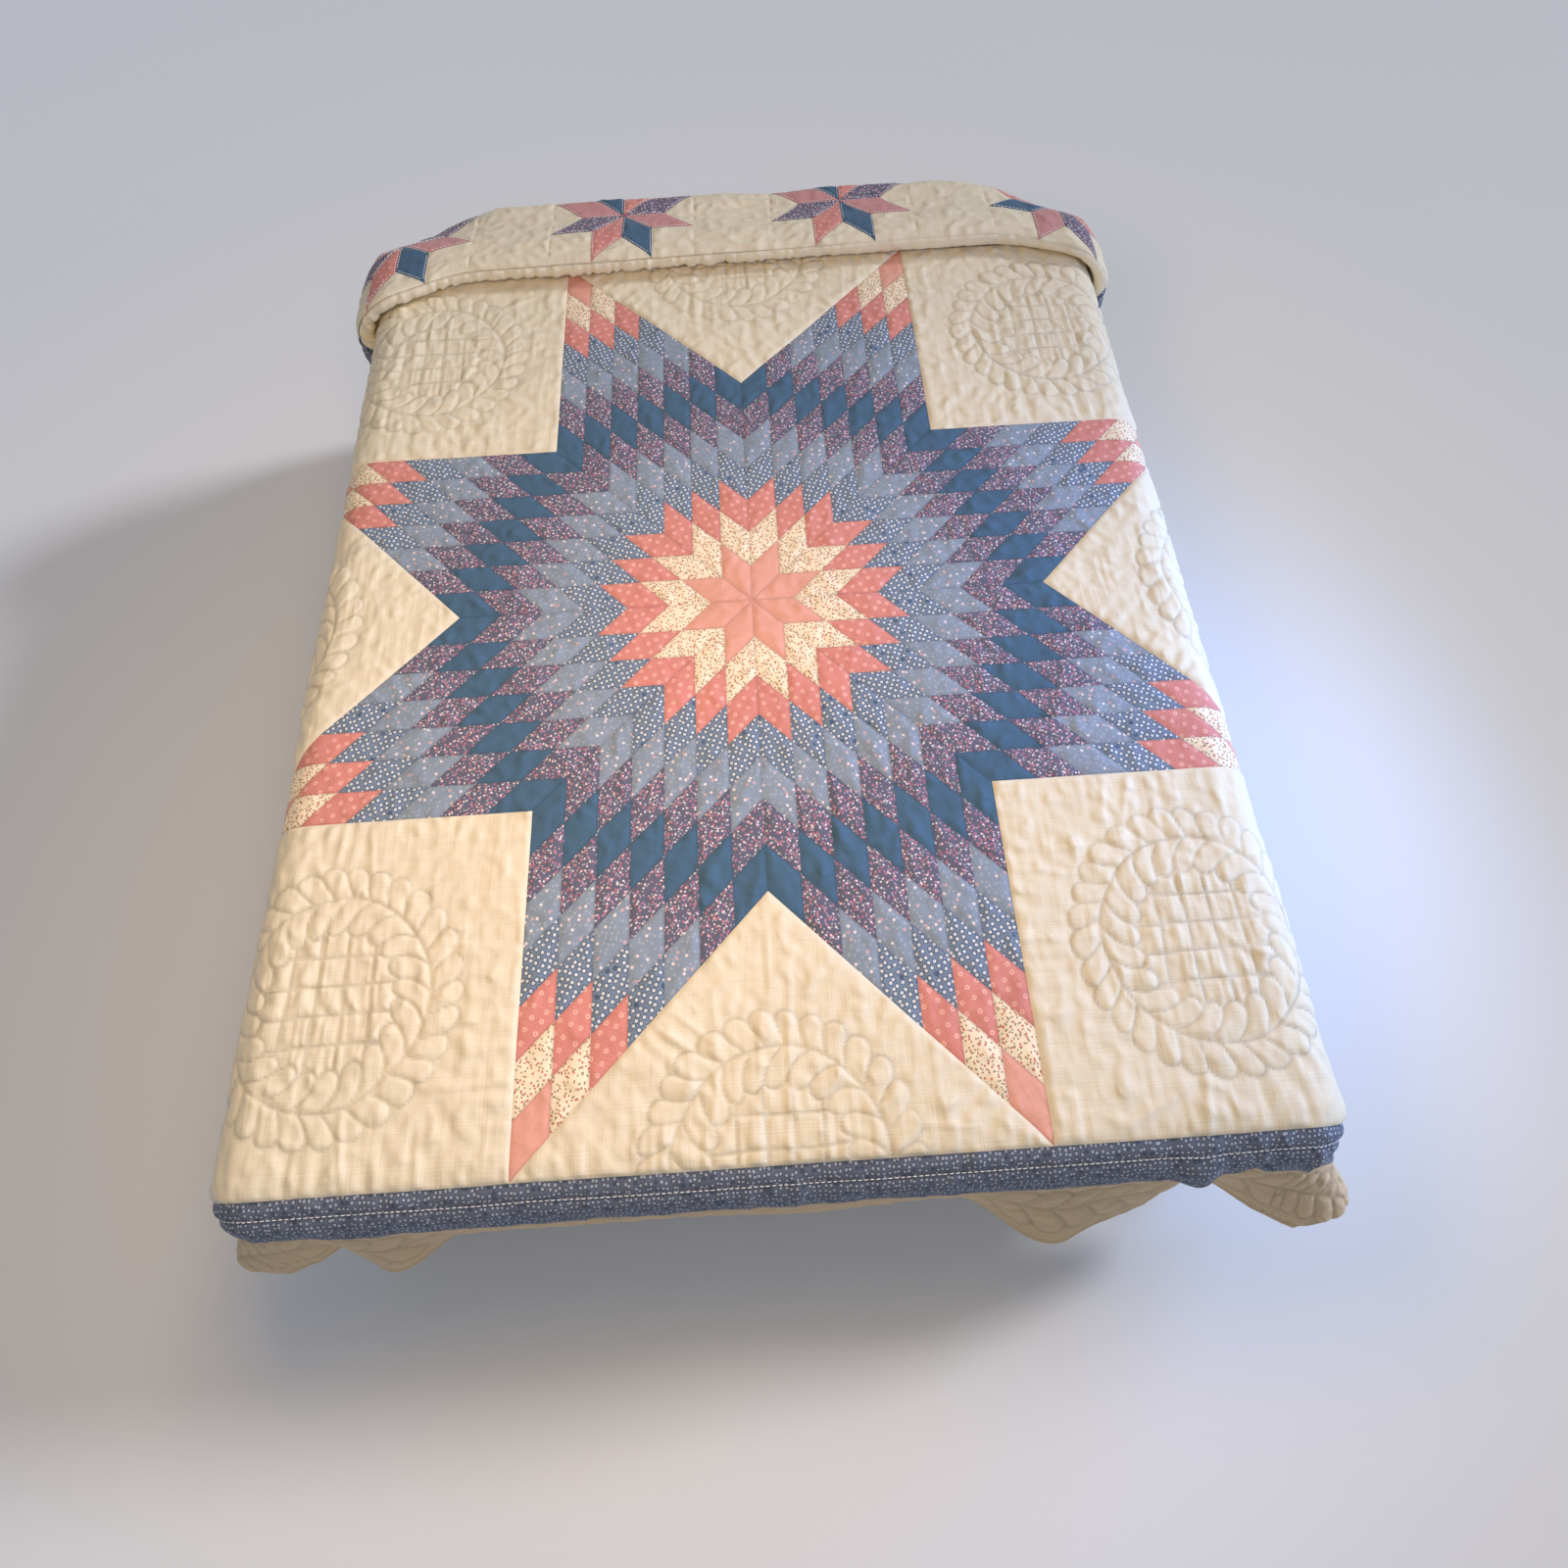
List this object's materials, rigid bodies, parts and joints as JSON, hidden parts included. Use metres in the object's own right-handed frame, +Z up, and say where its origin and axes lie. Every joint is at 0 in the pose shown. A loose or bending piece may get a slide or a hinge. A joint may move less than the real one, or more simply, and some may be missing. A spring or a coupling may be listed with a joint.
{
  "type": "star quilt spread over a bed",
  "caption": "Pieced star quilt with feather quilting, folded back and forth near the head and draped over a plain mattress and base.",
  "frame": {"origin": "middle of the base's underside, on the floor", "axes": "+Z up, +Y from the foot to the head of the bed, +X to the right seen from the foot"},
  "size_m": [1.6636, 2.0469, 0.682],
  "materials": {
    "base_cover": "plain woven cover, matte",
    "ticking": "plain woven ticking, matte",
    "quilt_cotton": "washed cotton patchwork, hand quilted, matte",
    "binding_cotton": "cotton binding, matte"
  },
  "bodies": {
    "root": {"base": "base_cover", "mattress": "ticking", "quilt": "quilt_cotton", "binding": "binding_cotton"}
  },
  "joints": []
}
